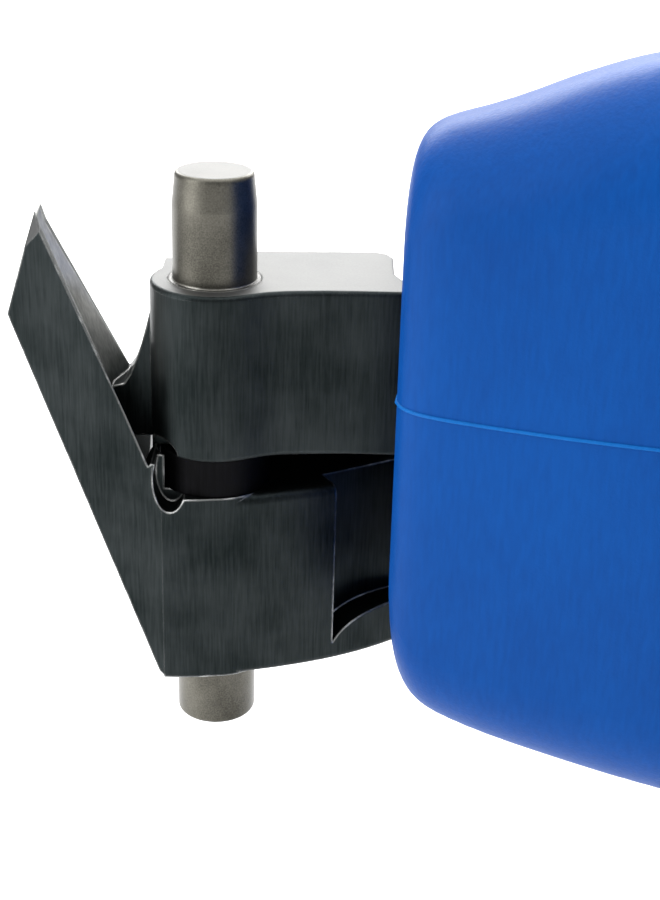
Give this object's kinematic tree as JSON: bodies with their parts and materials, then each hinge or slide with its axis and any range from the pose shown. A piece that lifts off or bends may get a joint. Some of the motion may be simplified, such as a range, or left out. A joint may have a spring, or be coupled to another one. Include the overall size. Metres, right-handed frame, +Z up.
{
  "type": "angled-jaw hand nippers",
  "caption": "Small angled-jaw hand nippers: two black steel halves lapped on a projecting round pivot pin, with deep blue moulded grips.",
  "frame": {"origin": "on the pivot axis, half way between the two stacked steel bars", "axes": "+Z up along the pivot pin from the lower bar to the upper bar; +X from the pivot back to the handles; +Y to the far handle, so the near handle is on -Y"},
  "size_m": [0.1187, 0.0472, 0.0407],
  "materials": {
    "black_steel": "black oxide over fine grinding, satin, bare steel showing on the edges",
    "pin_steel": "turned pin, satin, fine grain",
    "washer_steel": "blackened, oiled",
    "spring_steel": "bright drawn wire",
    "grip_plastic": "moulded, fine satin texture",
    "screw_steel": "dark zinc",
    "insert_brass": "knurled, turned"
  },
  "bodies": {
    "lower_body": {"lower_half": "black_steel", "pivot_pin": "pin_steel", "thrust_washer": "washer_steel", "retaining_ring": "spring_steel", "far_grip_lower": "grip_plastic", "far_grip_upper": "grip_plastic", "far_screw_front": "screw_steel", "far_screw_rear": "screw_steel", "far_insert_front": "insert_brass", "far_insert_rear": "insert_brass"},
    "upper_body": {"upper_half": "black_steel", "near_grip_lower": "grip_plastic", "near_grip_upper": "grip_plastic", "near_screw_front": "screw_steel", "near_screw_rear": "screw_steel", "near_insert_front": "insert_brass", "near_insert_rear": "insert_brass"}
  },
  "joints": [
    {"name": "pivot", "type": "hinge", "parent": "lower_body", "child": "upper_body", "pos_m": [0, 0, 0], "axis": [0, 0, -1], "range_deg": [0, 25]}
  ]
}
